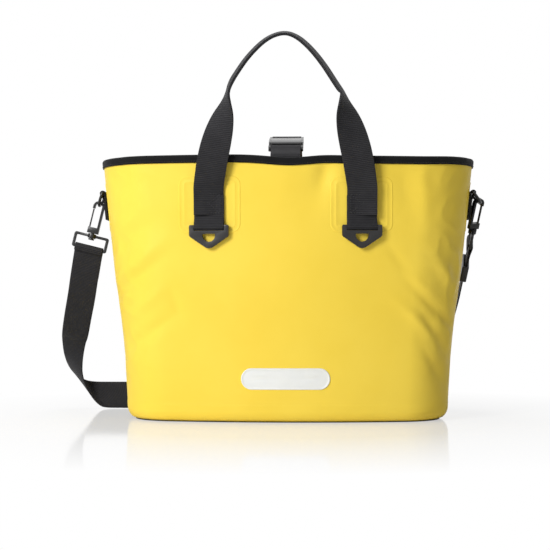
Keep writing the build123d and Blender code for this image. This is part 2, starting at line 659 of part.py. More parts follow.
right_bar = loop_bar["right"]
right_down = HANG["right"][2].normalized()
right_width = HANG["right"][-1]
right_width = (right_width - right_down * right_width.dot(right_down)).normalized()
right_end = Plane(right_bar, x_dir=right_width, z_dir=right_width.cross(right_down))
straight_end = right_bar + right_down * RIGHT_STRAIGHT
with BuildPart() as shoulder_strap_right:
    add(folded_end(right_end, 0, strap_bar_radius, END_DOUBLED, WEB_WIDTH, -WEB_THICKNESS))
    across = strap_planes(FLOOR_RUN + [(straight_end, right_width)], (Vector(1, 0.1, 0), -right_down))
    across.append(Plane(right_bar + right_down * END_DOUBLED, x_dir=right_width, z_dir=-right_down))
    add(bands([(plane, WEB_WIDTH, WEB_THICKNESS) for plane in across]))
shoulder_strap_right.part.label = "shoulder_strap_right"
export_step(shoulder_strap_right.part, "parts/shoulder_strap_right.step")

slider_start = right_bar + right_down * (SLIDER_REACH - SLIDER_LENGTH / 2)
with BuildPart() as strap_slider:
    with BuildSketch(Plane(slider_start, x_dir=right_width, z_dir=right_down)):
        RectangleRounded(WEB_WIDTH + 2 * SLIDER_CHEEK, SLIDER_THICKNESS, SLIDER_CORNER)
        Rectangle(*SLIDER_SLOT, mode=Mode.SUBTRACT)
    extrude(amount=SLIDER_LENGTH)
strap_slider.part.label = "strap_slider"
export_step(strap_slider.part, "parts/strap_slider.step")


# ---- closure straps and side-release buckle -----------------------------------------------------
socket_bar = Vector(0, BUCKLE_BAR_INSET - RIM_HALF_DEPTH, RIM_LEVEL + BUCKLE_BAR_RISE)
pull = Vector(0, cos(radians(BUCKLE_TILT)), sin(radians(BUCKLE_TILT)))
buckle = Plane(socket_bar, x_dir=(1, 0, 0), z_dir=Vector(1, 0, 0).cross(pull))
mouth = BUCKLE_REACH + BUCKLE_LENGTH
bore_half = BUCKLE_WIDTH / 2 - BUCKLE_WALL - BORE_SIDE_GAP
bore_depth = BUCKLE_THICKNESS - 2 * BUCKLE_WALL
bore_start = BUCKLE_REACH + BORE_END_WALL
plug_start = mouth + PLUG_GAP
plug_bar_reach = plug_start + MALE_REACH
lever_x = BUCKLE_WIDTH / 2 - LEVER_PIVOT_INSET


def block(low, high):
    """Box between two corners in the buckle's own plane."""
    with BuildPart() as solid:
        with BuildSketch(buckle.offset(low[2])):
            with Locations(((low[0] + high[0]) / 2, (low[1] + high[1]) / 2)):
                Rectangle(high[0] - low[0], high[1] - low[1])
        extrude(amount=high[2] - low[2])
    return solid.part


def ears(reach_low, reach_high, bar_reach):
    """Two ears and the webbing bar between them."""
    inner = BUCKLE_WIDTH / 2 - EAR_THICKNESS
    with BuildPart() as solid:
        for sign in (-1, 1):
            low, high = sorted((sign * inner, sign * BUCKLE_WIDTH / 2))
            add(block((low, reach_low, -EAR_HEIGHT / 2), (high, reach_high, EAR_HEIGHT / 2)))
        with BuildSketch(Plane(buckle.from_local_coords((0, bar_reach, 0)), z_dir=(1, 0, 0))):
            Circle(BUCKLE_BAR_RADIUS)
        extrude(amount=BUCKLE_WIDTH / 2, both=True)
    return solid.part


with BuildPart() as buckle_socket:
    with BuildSketch(buckle.offset(-BUCKLE_THICKNESS / 2)):
        with Locations((0, BUCKLE_REACH + BUCKLE_LENGTH / 2)):
            RectangleRounded(BUCKLE_WIDTH, BUCKLE_LENGTH, BUCKLE_CORNER)
    extrude(amount=BUCKLE_THICKNESS)
    add(ears(-EAR_PAST_BAR, BUCKLE_REACH + EAR_LAP, 0))
    floor, roof = -bore_depth / 2, bore_depth / 2
    add(block((-bore_half, bore_start, floor), (bore_half, mouth + 1, roof)), mode=Mode.SUBTRACT)
    add(block((-BUCKLE_WIDTH, WINDOW_START, floor), (BUCKLE_WIDTH, WINDOW_END, roof)), mode=Mode.SUBTRACT)
buckle_socket.part.label = "buckle_socket"
export_step(buckle_socket.part, "parts/buckle_socket.step")

with BuildPart() as buckle_plug:
    half, deep = BUCKLE_WIDTH / 2 - PLUG_SIDE_INSET, PLUG_THICKNESS / 2
    add(block((-half, plug_start, -deep), (half, plug_start + PLUG_LENGTH, deep)))
    half, deep = TONGUE_WIDTH / 2, TONGUE_THICKNESS / 2
    add(block((-half, bore_start + TONGUE_TIP_GAP, -deep), (half, plug_start, deep)))
    add(ears(plug_start + PLUG_LENGTH - 1, plug_bar_reach + EAR_PAST_BAR, plug_bar_reach))
    for pivot_x in (-lever_x, lever_x):
        cheek = LEVER_THICKNESS / 2 + CHEEK_GAP
        for level in (cheek, -cheek - CHEEK_THICKNESS):
            low = (pivot_x - CHEEK_HALF_WIDTH, LEVER_PIVOT_REACH - CHEEK_BEHIND_PIN, level)
            add(block(low, (pivot_x + CHEEK_HALF_WIDTH, plug_start, level + CHEEK_THICKNESS)))
        with BuildSketch(buckle):
            with Locations((pivot_x, LEVER_PIVOT_REACH)):
                Circle(LEVER_PIN_RADIUS)
        extrude(amount=LEVER_THICKNESS / 2 + CHEEK_THICKNESS, both=True)
buckle_plug.part.label = "buckle_plug"
export_step(buckle_plug.part, "parts/buckle_plug.step")

for hand, sign in (("left", -1), ("right", 1)):
    tip = LEVER_PIVOT_REACH - LEVER_REACH
    barb = tip + BARB_LENGTH
    arm = lever_x + LEVER_KNUCKLE_RADIUS
    outline = [
        (lever_x - 1.5 * LEVER_TIP, tip - LEVER_TIP),
        (lever_x + 2.7 * LEVER_TIP, tip - LEVER_TIP),
        (BUCKLE_WIDTH / 2 - BARB_INSET, barb),
        (arm, barb),
        (arm, LEVER_PIVOT_REACH),
        (lever_x - LEVER_KNUCKLE_RADIUS, LEVER_PIVOT_REACH),
    ]
    with BuildPart() as lever:
        with BuildSketch(buckle):
            Polygon(*[(sign * x, y) for x, y in outline], align=None)
            with Locations((sign * lever_x, LEVER_PIVOT_REACH)):
                Circle(LEVER_KNUCKLE_RADIUS)
                Circle(LEVER_PIN_RADIUS + RUNNING_FIT, mode=Mode.SUBTRACT)
        extrude(amount=LEVER_THICKNESS / 2, both=True)
    lever.part.label = f"buckle_{hand}_lever"
    export_step(lever.part, f"parts/buckle_{hand}_lever.step")

plug_bar = buckle.from_local_coords((0, plug_bar_reach, 0))
seam_level = RIM_LEVEL - CLOSURE_SEAM_DROP
inner_wall = half_sizes(seam_level)[1] - WALL
half_web = WEB_THICKNESS / 2
sewn = inner_wall - SEAT - half_web - LINING_CLEARANCE
binding_low = RIM_TOP - BINDING_HEIGHT
inner_binding = half_sizes(binding_low)[1] - WALL - SEAT - BINDING_THICKNESS
past_binding = inner_binding - half_web - BINDING_CLEARANCE
wrap = BUCKLE_BAR_RADIUS + LOOP_GAP + half_web

for name, bar, side, turns in (
    ("front_closure_strap", socket_bar, -1, FRONT_CLOSURE_TURNS),
    ("back_closure_strap", plug_bar, 1, BACK_CLOSURE_TURNS),
):
    swing = [(side * (RIM_HALF_DEPTH - inset), RIM_LEVEL + rise) for inset, rise in turns]
    seam = [(side * past_binding, binding_low - 2), (side * sewn, binding_low - 8)]
    seam.append((side * sewn, seam_level))
    with BuildPart() as closure:
        with BuildSketch(Plane((0, 0, 0), x_dir=(0, 1, 0), z_dir=(1, 0, 0))):
            with BuildLine():
                Polyline([(bar.Y + side * wrap, bar.Z)] + swing + seam)
            trace(line_width=WEB_THICKNESS)
            with Locations((bar.Y, bar.Z)):
                Circle(wrap + WEB_THICKNESS / 2)
                Circle(wrap - WEB_THICKNESS / 2, mode=Mode.SUBTRACT)
        extrude(amount=WEB_WIDTH / 2, both=True)
    closure.part.label = name
    export_step(closure.part, f"parts/{name}.step")
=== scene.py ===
"""Dry tail bag of yellow coated fabric on its black base, with webbing handles and a shoulder strap.
Metres, +Z up, the front faces -Y, in the frame of the CAD parts."""

from math import atan2, cos, exp, pi, radians, sin, sqrt

import bmesh
import bpy
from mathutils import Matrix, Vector, noise


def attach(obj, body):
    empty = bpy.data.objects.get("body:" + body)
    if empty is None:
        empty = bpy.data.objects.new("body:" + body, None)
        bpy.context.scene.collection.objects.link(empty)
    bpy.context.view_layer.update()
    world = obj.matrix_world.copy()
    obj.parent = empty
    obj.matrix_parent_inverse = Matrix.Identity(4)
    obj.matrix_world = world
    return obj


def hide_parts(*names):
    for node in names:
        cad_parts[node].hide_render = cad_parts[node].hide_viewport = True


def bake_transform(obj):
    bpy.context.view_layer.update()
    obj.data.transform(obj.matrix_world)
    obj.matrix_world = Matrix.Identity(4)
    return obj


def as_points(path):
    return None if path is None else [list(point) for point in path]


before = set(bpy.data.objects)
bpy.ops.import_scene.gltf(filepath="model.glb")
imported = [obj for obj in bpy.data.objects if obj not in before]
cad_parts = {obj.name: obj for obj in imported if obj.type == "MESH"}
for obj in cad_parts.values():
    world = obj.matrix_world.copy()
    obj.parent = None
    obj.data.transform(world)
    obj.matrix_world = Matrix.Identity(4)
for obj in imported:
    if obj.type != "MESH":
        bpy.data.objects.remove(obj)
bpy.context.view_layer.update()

# ---- camera --------------------------------------------------------------------------------------
# A short telephoto view from the front, level and two degrees to the right of square on, about
# 1.75 m from the bag.
camera_data = bpy.data.cameras.new("camera")
camera_data.lens = 91.0
camera_data.sensor_width = 36.0
camera_data.shift_y = 0.051
camera = bpy.data.objects.new("camera", camera_data)
camera.location = (0.048, -1.8445, 0.152)
camera.rotation_euler = (radians(90), 0, radians(2))
bpy.context.scene.collection.objects.link(camera)
bpy.context.scene.camera = camera

# ---- shoulder strap ------------------------------------------------------------------------------
# One length of 38 mm woven polypropylene webbing between the two snap hooks. It hangs from the left
# hook to the floor, folds over on a slant, runs behind the bag on its edge and then flat, and rises
# to the right hook. Its ends are doubled back round the loops' bars and sewn.
MM = 0.001
WEB_WIDTH = 38.0 * MM
WEB_THICKNESS = 1.6 * MM
WEAVE_PITCH = 2.3 * MM
FOLD_RATE = 1.6  # how soon webbing folds as it gets narrower
LEFT_BAR = Vector((-264.7, 0.0, 224.85)) * MM
RIGHT_BAR = Vector((244.6, 32.7, 233.45)) * MM
RIGHT_DOWN = Vector((-0.15, 0.43, -0.89)).normalized()
RIGHT_ACROSS = Vector((0.1, 0.89, 0.42))
RIGHT_ACROSS = (RIGHT_ACROSS - RIGHT_DOWN * RIGHT_ACROSS.dot(RIGHT_DOWN)).normalized()
LEFT_ACROSS = Vector((0.971, 0.0, -0.24))
LEFT_WAY = Vector((-0.218, 0.42, -0.88))
LEFT_WAY = (LEFT_WAY - LEFT_ACROSS * LEFT_WAY.dot(LEFT_ACROSS)).normalized()


def node_material(name, roughness, metallic=0.0, specular=0.5, sheen=0.0):
    """A material with its node tree, and its Principled shader with the plain values set."""
    material = bpy.data.materials.new(name)
    material.use_nodes = True
    tree = material.node_tree
    shader = tree.nodes["Principled BSDF"]
    shader.inputs["Roughness"].default_value = roughness
    shader.inputs["Metallic"].default_value = metallic
    shader.inputs["Specular IOR Level"].default_value = specular
    shader.inputs["Sheen Weight"].default_value = sheen
    return material, tree, shader


def node(tree, kind, **inputs):
    """A node of this kind, with values or sockets put in by the names of its inputs."""
    made = tree.nodes.new(kind)
    for name, value in inputs.items():
        key = name.replace("_", " ")
        if isinstance(value, bpy.types.NodeSocket):
            tree.links.new(value, made.inputs[key])
        else:
            made.inputs[key].default_value = value
    return made


def two_tones(tree, shader, factor, dark, light, low=0.3, high=0.7):
    """Base colour that goes between two tones with a pattern."""
    ramp = node(tree, "ShaderNodeValToRGB", Fac=factor)
    ramp.color_ramp.elements[0].position = low
    ramp.color_ramp.elements[1].position = high
    ramp.color_ramp.elements[0].color = (*dark, 1)
    ramp.color_ramp.elements[1].color = (*light, 1)
    tree.links.new(ramp.outputs["Color"], shader.inputs["Base Color"])


def raised(tree, shader, height, distance, strength=1.0, under=None):
    """Relief from a pattern, a distance in metres, over another relief."""
    bump = node(tree, "ShaderNodeBump", Height=height, Distance=distance, Strength=strength)
    if under:
        tree.links.new(under.outputs["Normal"], bump.inputs["Normal"])
    tree.links.new(bump.outputs["Normal"], shader.inputs["Normal"])
    return bump


def woven(name, dark, light, pitch, rib=0.35 * MM, specular=0.18):
    """Black webbing: weft ribs across it, finer warp threads along it, and a matt nap."""
    material, tree, shader = node_material(name, 0.62, specular=specular, sheen=0.05)
    cloth = node(tree, "ShaderNodeUVMap")
    cloth.uv_map = "cloth"
    ribs = node(tree, "ShaderNodeTexWave", Vector=cloth.outputs["UV"], Scale=2 * pi / (20 * pitch))
    ribs.bands_direction = "Y"
    ribs.inputs["Distortion"].default_value = 0.6
    ribs.inputs["Detail Scale"].default_value = 2.0
    warp_scale = 2 * pi / (20 * 0.6 * pitch)
    warp = node(tree, "ShaderNodeTexWave", Vector=cloth.outputs["UV"], Scale=warp_scale)
    warp.bands_direction = "X"
    weave = node(tree, "ShaderNodeMix", Factor=0.35)
    tree.links.new(ribs.outputs["Fac"], weave.inputs["A"])
    tree.links.new(warp.outputs["Fac"], weave.inputs["B"])
    wear = node(tree, "ShaderNodeTexNoise", Vector=cloth.outputs["UV"], Scale=60.0, Detail=3.0)
    tone = node(tree, "ShaderNodeMix", Factor=0.4)
    tree.links.new(weave.outputs["Result"], tone.inputs["A"])
    tree.links.new(wear.outputs["Fac"], tone.inputs["B"])
    two_tones(tree, shader, tone.outputs["Result"], dark, light)
    raised(tree, shader, weave.outputs["Result"], rib)
    return material


webbing_black = woven("webbing_black", (0.006, 0.006, 0.007), (0.024, 0.023, 0.026), WEAVE_PITCH)


def spline_points(lines):
    """Points along a smooth NURBS line through each list of control points, all with as many points."""
    curve = bpy.data.curves.new("line", "CURVE")
    curve.dimensions = "3D"
    curve.resolution_u = 8
    for line in lines:
        spline = curve.splines.new("NURBS")
        spline.points.add(len(line) - 1)
        for point, place in zip(spline.points, line):
            point.co = (*place, 1)
        spline.order_u = 3
        spline.use_endpoint_u = True
    holder = bpy.data.objects.new("line", curve)
    mesh = bpy.data.meshes.new_from_object(holder)
    points = [v.co.copy() for v in mesh.vertices]
    bpy.data.objects.remove(holder)
    bpy.data.meshes.remove(mesh)
    count = len(points) // len(lines)
    return [points[i * count : (i + 1) * count] for i in range(len(lines))]


def put_in(name, bm, material, smooth=True):
    """A new object with this mesh and finish."""
    mesh = bpy.data.meshes.new(name)
    for face in bm.faces:
        face.smooth = smooth
    bm.to_mesh(mesh)
    bm.free()
    mesh.materials.append(material)
    made = bpy.data.objects.new(name, mesh)
    bpy.context.scene.collection.objects.link(made)
    return made


def settle(piece):
    """Make a piece's modifiers part of its mesh."""
    bpy.context.view_layer.update()
    whole = piece.evaluated_get(bpy.context.evaluated_depsgraph_get())
    mesh = bpy.data.meshes.new_from_object(whole)
    piece.modifiers.clear()
    piece.data = mesh


def thicken(piece, thickness, offset=0.0, edge=0.3, shares=None):
    """Give a sheet its thickness, all of it or a share at each point, and soften its edges."""
    solid = piece.modifiers.new("thickness", "SOLIDIFY")
    solid.thickness = thickness
    if shares:
        group = piece.vertex_groups.new(name="thickness")
        for index, share in enumerate(shares):
            group.add([index], share, "REPLACE")
        solid.vertex_group = group.name
    solid.offset = offset
    solid.use_even_offset = True
    if edge:
        bevel = piece.modifiers.new("edge", "BEVEL")
        bevel.width = edge * thickness
        bevel.segments = 2
        bevel.limit_method = "ANGLE"
        bevel.angle_limit = radians(50)
    settle(piece)


def band(name, stations, material=webbing_black, threads=8, folded=1.0):
    """Webbing along stations, each its middle and the vector from one edge to the other. Where it is
    narrower it is folded lengthwise, up to so many times its thickness."""
    edges = spline_points([[p - a / 2 for p, a in stations], [p + a / 2 for p, a in stations]])
    rows = len(edges[0])
    lengths = [0.0]
    for i in range(1, rows):
        here = (edges[0][i] + edges[1][i]) / 2
        before = (edges[0][i - 1] + edges[1][i - 1]) / 2
        lengths.append(lengths[-1] + (here - before).length)
    bm = bmesh.new()
    bmesh.ops.create_grid(bm, x_segments=rows - 1, y_segments=threads, size=1.0)
    cloth = bm.loops.layers.uv.new("cloth")
    placed = {v: (round((v.co.x + 1) / 2 * (rows - 1)), (v.co.y + 1) / 2) for v in bm.verts}
    for vert, (row, share) in placed.items():
        vert.co = edges[0][row].lerp(edges[1][row], share)
    for face in bm.faces:
        for loop in face.loops:
            row, share = placed[loop.vert]
            width = (edges[1][row] - edges[0][row]).length
            loop[cloth].uv = ((share - 0.5) * width, lengths[row])
    widths = [(edges[1][row] - edges[0][row]).length for row, _ in placed.values()]
    narrow = [FOLD_RATE * (1 - width / WEB_WIDTH) for width in widths]
    shares = [(1 + (folded - 1) * min(max(n, 0), 1)) / folded for n in narrow]
    piece = put_in(name, bm, material)
    thicken(piece, WEB_THICKNESS * folded, shares=shares if folded > 1 else None)
    return piece, [(a + b) / 2 for a, b in zip(*edges)]


left_start = LEFT_BAR + LEFT_WAY * 4 * MM
strap_route = [
    (left_start, LEFT_ACROSS),
    (LEFT_BAR + LEFT_WAY * 24 * MM, LEFT_ACROSS),
    (LEFT_BAR + LEFT_WAY * 44 * MM, LEFT_ACROSS),
    (Vector((-281.0, 37.0, 161.0)) * MM, Vector((0.94, 0.18, -0.27))),
    (Vector((-290.5, 62.0, 134.0)) * MM, Vector((0.92, 0.26, -0.28))),
    (Vector((-299.5, 90.0, 108.0)) * MM, Vector((0.91, 0.34, -0.22))),
    (Vector((-304.5, 108.0, 97.0)) * MM, Vector((0.87, 0.0, -0.11))),
    (Vector((-308.0, 123.0, 74.0)) * MM, Vector((0.75, -0.37, -0.21))),
    (Vector((-307.5, 138.5, 53.5)) * MM, Vector((0.60, -0.60, -0.34))),
    (Vector((-298.0, 148.0, 34.0)) * MM, Vector((0.63, -0.53, -0.74))),
    (Vector((-285.5, 152.5, 22.0)) * MM, Vector((0.66, -0.29, -1.0))),
    (Vector((-273.0, 153.0, 19.7)) * MM, Vector((0.58, -0.10, -0.99))),
    (Vector((-253.5, 152.5, 19.7)) * MM, Vector((0.45, -0.03, -0.99))),
    (Vector((-225.0, 153.0, 19.6)) * MM, Vector((0, 0, -1.0))),
    (Vector((-195.0, 154.0, 19.6)) * MM, Vector((0, 0, -1.0))),
    (Vector((-150.0, 157.0, 19.2)) * MM, Vector((0, -0.17, -0.98))),
    (Vector((-110.0, 161.0, 17.8)) * MM, Vector((0, -0.42, -0.91))),
    (Vector((-70.0, 165.0, 14.5)) * MM, Vector((0, -0.71, -0.71))),
    (Vector((-30.0, 168.0, 9.5)) * MM, Vector((0, -0.90, -0.43))),
    (Vector((10.0, 170.0, 4.6)) * MM, Vector((0, -0.98, -0.17))),
    (Vector((55.0, 171.0, 1.6)) * MM, Vector((0, -1.0, 0))),
    (Vector((100.0, 169.5, 1.6)) * MM, Vector((-0.03, -1.0, 0))),
    (Vector((138.0, 166.0, 2.2)) * MM, Vector((-0.10, -0.99, -0.02))),
    (Vector((168.0, 161.0, 8.0)) * MM, Vector((-0.16, -0.98, -0.10))),
    (Vector((190.0, 152.0, 24.0)) * MM, Vector((-0.26, -0.93, -0.24))),
    (Vector((205.0, 138.0, 48.0)) * MM, Vector((-0.26, -0.87, -0.40))),
    (Vector((215.0, 118.0, 80.0)) * MM, Vector((-0.20, -0.86, -0.46))),
    (Vector((222.5, 94.0, 117.0)) * MM, Vector((-0.14, -0.88, -0.45))),
    (RIGHT_BAR + RIGHT_DOWN * 85 * MM, -RIGHT_ACROSS),
    (RIGHT_BAR + RIGHT_DOWN * 60 * MM, -RIGHT_ACROSS),
    (RIGHT_BAR + RIGHT_DOWN * 25 * MM, -RIGHT_ACROSS),
    (RIGHT_BAR + RIGHT_DOWN * 4 * MM, -RIGHT_ACROSS),
]
strap_stations = [(place, across * WEB_WIDTH) for place, across in strap_route]
shoulder_strap, strap_line = band("shoulder_strap", strap_stations, threads=10)
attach(shoulder_strap, "root")
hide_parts("shoulder_strap_left", "shoulder_strap_right")

# a sewn end: millimetres down the strap and out from its middle, the second as a share of DOUBLED_REACH
DOUBLED_REACH = 3.4 * MM
DOUBLED = (
    (42, -0.5), (28, -0.5), (12, -0.55), (5, -0.9), (-1.5, -1.15), (-4.6, 0), (-1.5, 1.15), (5, 0.9)
)
for name, bar, way, across, back in (
    ("left_strap_end", LEFT_BAR, LEFT_WAY, LEFT_ACROSS, 1),
    ("right_strap_end", RIGHT_BAR, RIGHT_DOWN, RIGHT_ACROSS, -1),
):
    out = way.cross(across) * back
    places = [bar + way * down * MM + out * away * DOUBLED_REACH for down, away in DOUBLED]
    end, _ = band(name, [(place, across * WEB_WIDTH) for place in places])
    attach(end, "root")

# ---- tub -----------------------------------------------------------------------------------------
# Front and back walls of yellow coated fabric over a thin foam lining, welded together up both ends
# and to the base. The wall is soft: it dips at the mouth, buckles at the ends and creases with use.
BASE_LEVEL = 1.2 * MM
RIM_LEVEL = 338.0 * MM
WALL = 3.0 * MM
SIDE_BOW = 14.0 * MM
TUCK_HEIGHT = 12.5 * MM
TUCK_INSET = 9.0 * MM
# height, half length and half depth, in millimetres
TUB_STATIONS = (
    (0, 209.5, 87.5), (16, 211.5, 88.0), (108, 217.0, 90.0), (200, 230.0, 94.0), (400, 250.3, 102.7)
)
EASE_REACH = 25 * MM
EASE_FROM = 16 * MM
WALL_LEAN = 0.09
ROW_SPREAD = 0.35  # how much taller the upper rows of the wall's mesh are
WELD_HEIGHT = 0.35 * MM
WALL_COLUMNS = 210
WALL_ROWS = 130


def plain_sizes(level):
    """Half length and half depth of the tub at a height, without the tuck at its foot."""
    for low, high in zip(TUB_STATIONS, TUB_STATIONS[1:]):
        if level <= high[0] * MM:
            break
    share = (level / MM - low[0]) / (high[0] - low[0])
    return [(low[i] + share * (high[i] - low[i])) * MM for i in (1, 2)]


def half_sizes(level):
    """Half length and half depth of the tub at a height, eased between its stations."""
    reach = min(EASE_REACH, max(level - EASE_FROM, 0))
    sizes = [plain_sizes(level + step * reach) for step in (-1, 0, 1)]
    length, depth = (sum(pair) / 3 for pair in zip(*sizes))
    above = min((level - BASE_LEVEL) / TUCK_HEIGHT, 1)
    tuck = TUCK_INSET * (1 - sqrt(max(1 - (1 - above) ** 2, 0)))
    return length - tuck, depth - tuck


def oval(level, share):
    """Point and outward direction on the front half of the oval, share from 0 at the left end to 1."""
    length, depth = half_sizes(level)
    end = depth - SIDE_BOW
    side = ((length - end) ** 2 + depth**2 - end**2) / (2 * SIDE_BOW)
    slope = atan2(length - end, side - depth)
    end_run, side_run = end * (pi / 2 - slope), side * slope
    run = (2 * share - 1) * (end_run + side_run)
    if abs(run) <= side_run:
        turn = run / side
        return side * sin(turn), side - depth - side * cos(turn), sin(turn), -cos(turn)
    turn = slope + (abs(run) - side_run) / end
    hand = 1 if run > 0 else -1
    return hand * (length - end + end * sin(turn)), -end * cos(turn), hand * sin(turn), -cos(turn)


def ease(value, low, high):
    """0 below low, 1 above high, smooth between."""
    t = min(max((value - low) / (high - low), 0), 1)
    return t * t * (3 - 2 * t)


def hill(x, z, at, size, turn=0.0):
    """Height of a long soft hill centred at a place, its two sizes along and across a turned line."""
    dx, dz = x - at[0] * MM, z - at[1] * MM
    along = (dx * cos(turn) + dz * sin(turn)) / (size[0] * MM)
    across = (-dx * sin(turn) + dz * cos(turn)) / (size[1] * MM)
    return exp(-along * along - across * across)


# soft dents and folds of the front wall: place, size, turn in degrees, and depth in millimetres
FRONT_FOLDS = (
    ((50, 318), (11, 26), -12, -4.6), ((66, 296), (9, 34), -24, 1.6), ((34, 298), (24, 24), 0, -1.8),
    ((-196, 240), (26, 12), 30, -3.2), ((-188, 205), (36, 9), 38, 2.6), ((-200, 180), (40, 9), 35, -3.6),
    ((-186, 146), (36, 8), 40, 2.6), ((-178, 112), (34, 8), 35, -3.2), ((-140, 150), (7, 22), 20, -1.4),
    ((-128, 262), (5, 14), 10, -1.6), ((146, 200), (34, 8), -52, -2.6), ((165, 176), (44, 8), -48, 3.0),
    ((184, 152), (38, 7), -45, -4.6), ((176, 122), (40, 7), -42, 2.8), ((194, 108), (32, 7), -55, -4.2),
    ((190, 72), (28, 8), -60, -2.8), ((205, 190), (34, 8), -60, 2.4), ((150, 300), (12, 30), 8, -1.8),
    ((176, 290), (10, 40), 5, 1.6),
    ((0, 190), (150, 60), 0, 1.2), ((-60, 110), (60, 30), 15, -0.7), ((80, 80), (70, 30), -10, -0.7),
)
BACK_FOLDS = (
    ((-60, 300), (10, 34), 15, -2.0), ((-20, 200), (120, 60), 0, 1.0), ((160, 190), (44, 10), 48, -1.5),
    ((182, 150), (46, 9), 44, 1.3), ((-170, 170), (46, 10), -42, -1.6), ((-188, 120), (40, 9), -46, 1.2),
    ((60, 120), (60, 12), 20, -0.8), ((-90, 70), (50, 16), -12, -0.7),
)


def relief(x, y, z):
    """How far the wall stands out or in from its plain shape."""
    folds = FRONT_FOLDS if y < 0 else BACK_FOLDS
    total = sum(d * hill(x, z, at, size, radians(turn)) for at, size, turn, d in folds)
    ends = ease(abs(x), 150 * MM, 225 * MM)
    spot = Vector((x, y, z))
    total += (0.5 + 2.2 * ends) * noise.noise(spot * 16)
    crease = noise.noise(Vector((x + 0.5 * z, y, z - 0.4 * x)) * 34)
    total += ends * ease(z, 30 * MM, 80 * MM) * 3.4 * (0.3 - abs(crease))
    flat = min(1, hill(x, z, (96, 277), (44, 44)) + hill(x, z, (-96, 277), (44, 44)))
    label = hill(x, z, (0, 56), (62, 22)) if y < 0 else 0
    flat = max(flat, hill(abs(x), z, (244, 279), (26, 40)), label)
    calm = 1 - 0.9 * min(1, 1.4 * flat)
    calm *= ease(z, 0, 20 * MM) * (1 - 0.5 * ease(z, 318 * MM, RIM_LEVEL)) * ease(abs(y), 0, 40 * MM)
    return total * calm * MM


def mouth_dip(x, y):
    """How far the soft rim hangs below its level."""
    if y < 0:
        right = ease(x, 40 * MM, 90 * MM) * (1 - ease(x, 170 * MM, 235 * MM))
        dip = 4.2 * hill(x, 0, (6, 0), (40, 1)) + 2.0 * right
        return (dip + 0.4) * MM * ease(-y, 0, 60 * MM)
    dip = 3.0 * hill(x, 0, (-30, 0), (60, 1)) + 1.2 * hill(x, 0, (120, 0), (40, 1)) + 0.5
    return dip * MM * ease(y, 0, 60 * MM)


def on_wall(side, share, level, out=0.0):
    """Point of the soft wall, side -1 the front and 1 the back, moved out along its own normal."""
    x, y, nx, ny = oval(level, share)
    y, ny = (y, ny) if side < 0 else (-y, -ny)
    away = out + relief(x, y, level)
    drop = mouth_dip(x, y) * ease(level, 230 * MM, RIM_LEVEL)
    place = Vector((x + nx * away, y + ny * away, level - drop - WALL_LEAN * out))
    return place, Vector((nx, ny, -WALL_LEAN)).normalized()


def share_at(x, level):
    """The share of the half oval at which the wall has this x."""
    low, high = 0.0, 1.0
    for _ in range(30):
        middle = (low + high) / 2
        low, high = (middle, high) if oval(level, middle)[0] < x else (low, middle)
    return (low + high) / 2


def uneven_gloss(tree, shader, pattern, roughness, less, more):
    """Roughness that goes with a pattern from a little under its plain value to a little over."""
    low, high = roughness - less, roughness + more
    gloss = node(tree, "ShaderNodeMapRange", Value=pattern.outputs["Fac"], To_Min=low, To_Max=high)
    tree.links.new(gloss.outputs["Result"], shader.inputs["Roughness"])


def coated(name, dark, light, roughness, weave=0.02):
    """Smooth coated fabric: a satin film over a fine scrim, faintly mottled and scuffed."""
    material, tree, shader = node_material(name, roughness, specular=0.1)
    place = node(tree, "ShaderNodeTexCoord")
    mottle = node(tree, "ShaderNodeTexNoise", Vector=place.outputs["Object"], Scale=9.0, Detail=4.0)
    two_tones(tree, shader, mottle.outputs["Fac"], dark, light, 0.35, 0.65)
    scuff = node(tree, "ShaderNodeTexNoise", Vector=place.outputs["Object"], Scale=45.0, Detail=5.0)
    uneven_gloss(tree, shader, scuff, roughness, 0.06, 0.1)
    scrim = node(tree, "ShaderNodeTexVoronoi", Vector=place.outputs["Object"], Scale=900.0, Randomness=0.25)
    film = raised(tree, shader, scrim.outputs["Distance"], weave * MM, 0.5)
    soft = node(tree, "ShaderNodeTexNoise", Vector=place.outputs["Object"], Scale=28.0, Detail=2.0)
    raised(tree, shader, soft.outputs["Fac"], 0.5 * MM, 0.35, under=film)
    return material


tarpaulin_yellow = coated("tarpaulin_yellow", (0.90, 0.655, 0.072), (0.93, 0.69, 0.086), 0.42)
tarpaulin_black = coated("tarpaulin_black", (0.012, 0.012, 0.012), (0.022, 0.022, 0.022), 0.5, 0.05)

for side, word in ((-1, "front"), (1, "back")):
    bm = bmesh.new()
    bmesh.ops.create_grid(bm, x_segments=WALL_COLUMNS, y_segments=WALL_ROWS, size=1.0)
    for vert in bm.verts:
        up = (vert.co.y + 1) / 2
        level = BASE_LEVEL + (RIM_LEVEL - BASE_LEVEL) * (ROW_SPREAD * up * up + (1 - ROW_SPREAD) * up)
        weld = WELD_HEIGHT * (1 - ease(level, 23.5 * MM, 24.5 * MM)) * ease(level, 5 * MM, 14 * MM)
        vert.co, _ = on_wall(side, (vert.co.x + 1) / 2, level, weld)
    bmesh.ops.recalc_face_normals(bm, faces=bm.faces)
    if sum(f.normal.y * f.calc_area() for f in bm.faces) * side < 0:
        bmesh.ops.reverse_faces(bm, faces=bm.faces)
    panel = put_in(f"{word}_wall", bm, tarpaulin_yellow)
    thicken(panel, WALL, offset=-1.0, edge=0)
    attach(panel, "root")
    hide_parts(f"{word}_panel")

# ---- base and its board --------------------------------------------------------------------------
# A black coated-fabric base welded under the tub, and a loose stiffener board inside on top of it.


def cad_part(name):
    """The object that a CAD node was loaded as."""
    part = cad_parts[name]
    return part if isinstance(part, bpy.types.Object) else bpy.data.objects[name]


def dress(name, material):
    """Give a CAD part its finish."""
    part = cad_part(name)
    for slot in part.material_slots:
        slot.material = material
    if not part.material_slots:
        part.data.materials.append(material)


